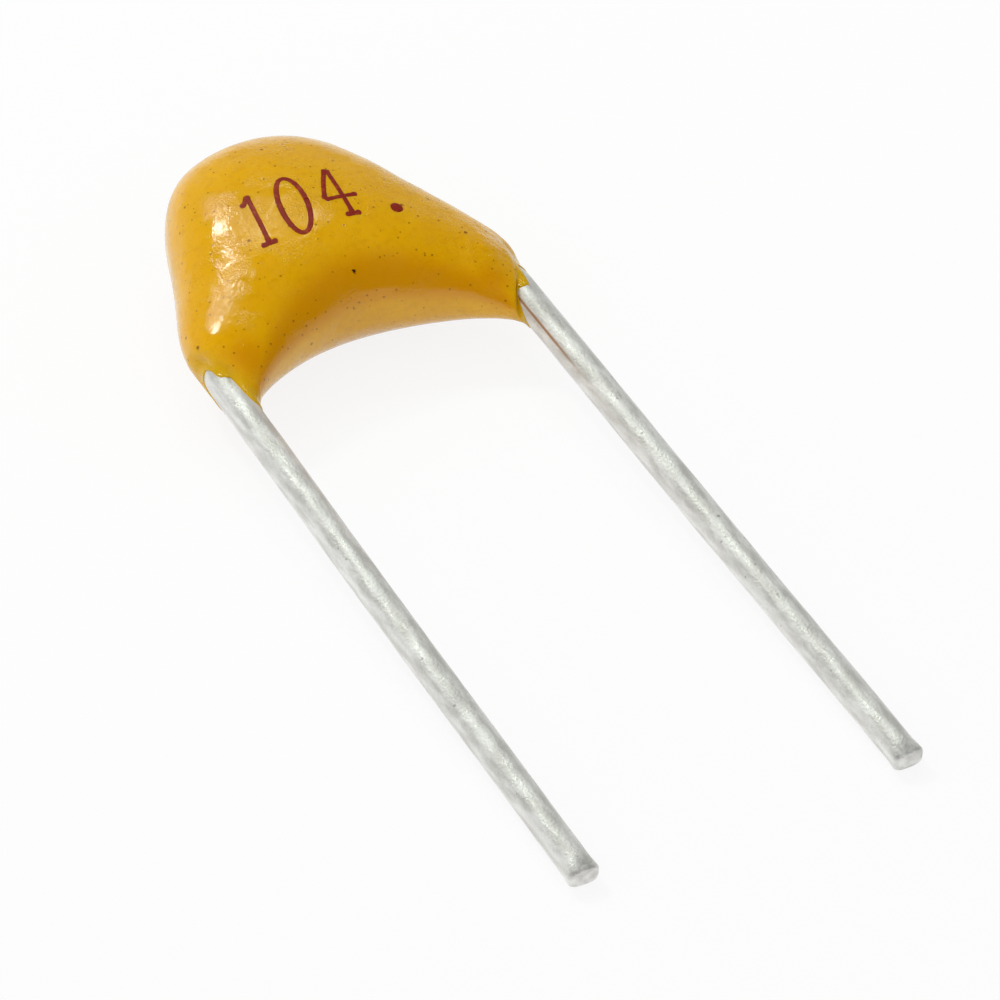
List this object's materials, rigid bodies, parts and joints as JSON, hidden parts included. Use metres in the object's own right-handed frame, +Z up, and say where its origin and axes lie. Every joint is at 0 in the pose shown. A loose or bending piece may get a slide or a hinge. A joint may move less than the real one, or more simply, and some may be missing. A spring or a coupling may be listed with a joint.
{
  "type": "multilayer ceramic capacitor",
  "caption": "Radial multilayer ceramic capacitor: a laminated ceramic block soldered between straight wire leads in a glossy dipped epoxy coating; stores charge on a circuit board.",
  "frame": {"origin": "middle of the bounding box, on the surface that the capacitor lies on", "axes": "+Z up from that surface, +Y from the cut lead ends towards the crown of the coating, +X across the leads, towards the right lead"},
  "size_m": [0.006, 0.016, 0.0024],
  "materials": {
    "epoxy": "glossy mustard-yellow dipped epoxy, slightly translucent, with fine specks",
    "ceramic": "matt fired titanate",
    "electrode": "matt printed metal film",
    "termination": "fired and plated metal, satin",
    "solder": "satin solder",
    "lead": "dull tinned wire with fine flecks"
  },
  "bodies": {
    "root": {"epoxy_coating": "epoxy", "ceramic_block": "ceramic", "left_electrode_1": "electrode", "left_electrode_2": "electrode", "left_electrode_3": "electrode", "left_electrode_4": "electrode", "left_electrode_5": "electrode", "left_electrode_6": "electrode", "right_electrode_1": "electrode", "right_electrode_2": "electrode", "right_electrode_3": "electrode", "right_electrode_4": "electrode", "right_electrode_5": "electrode", "right_electrode_6": "electrode", "left_termination": "termination", "right_termination": "termination", "left_solder": "solder", "right_solder": "solder", "left_lead": "lead", "right_lead": "lead"}
  },
  "joints": []
}
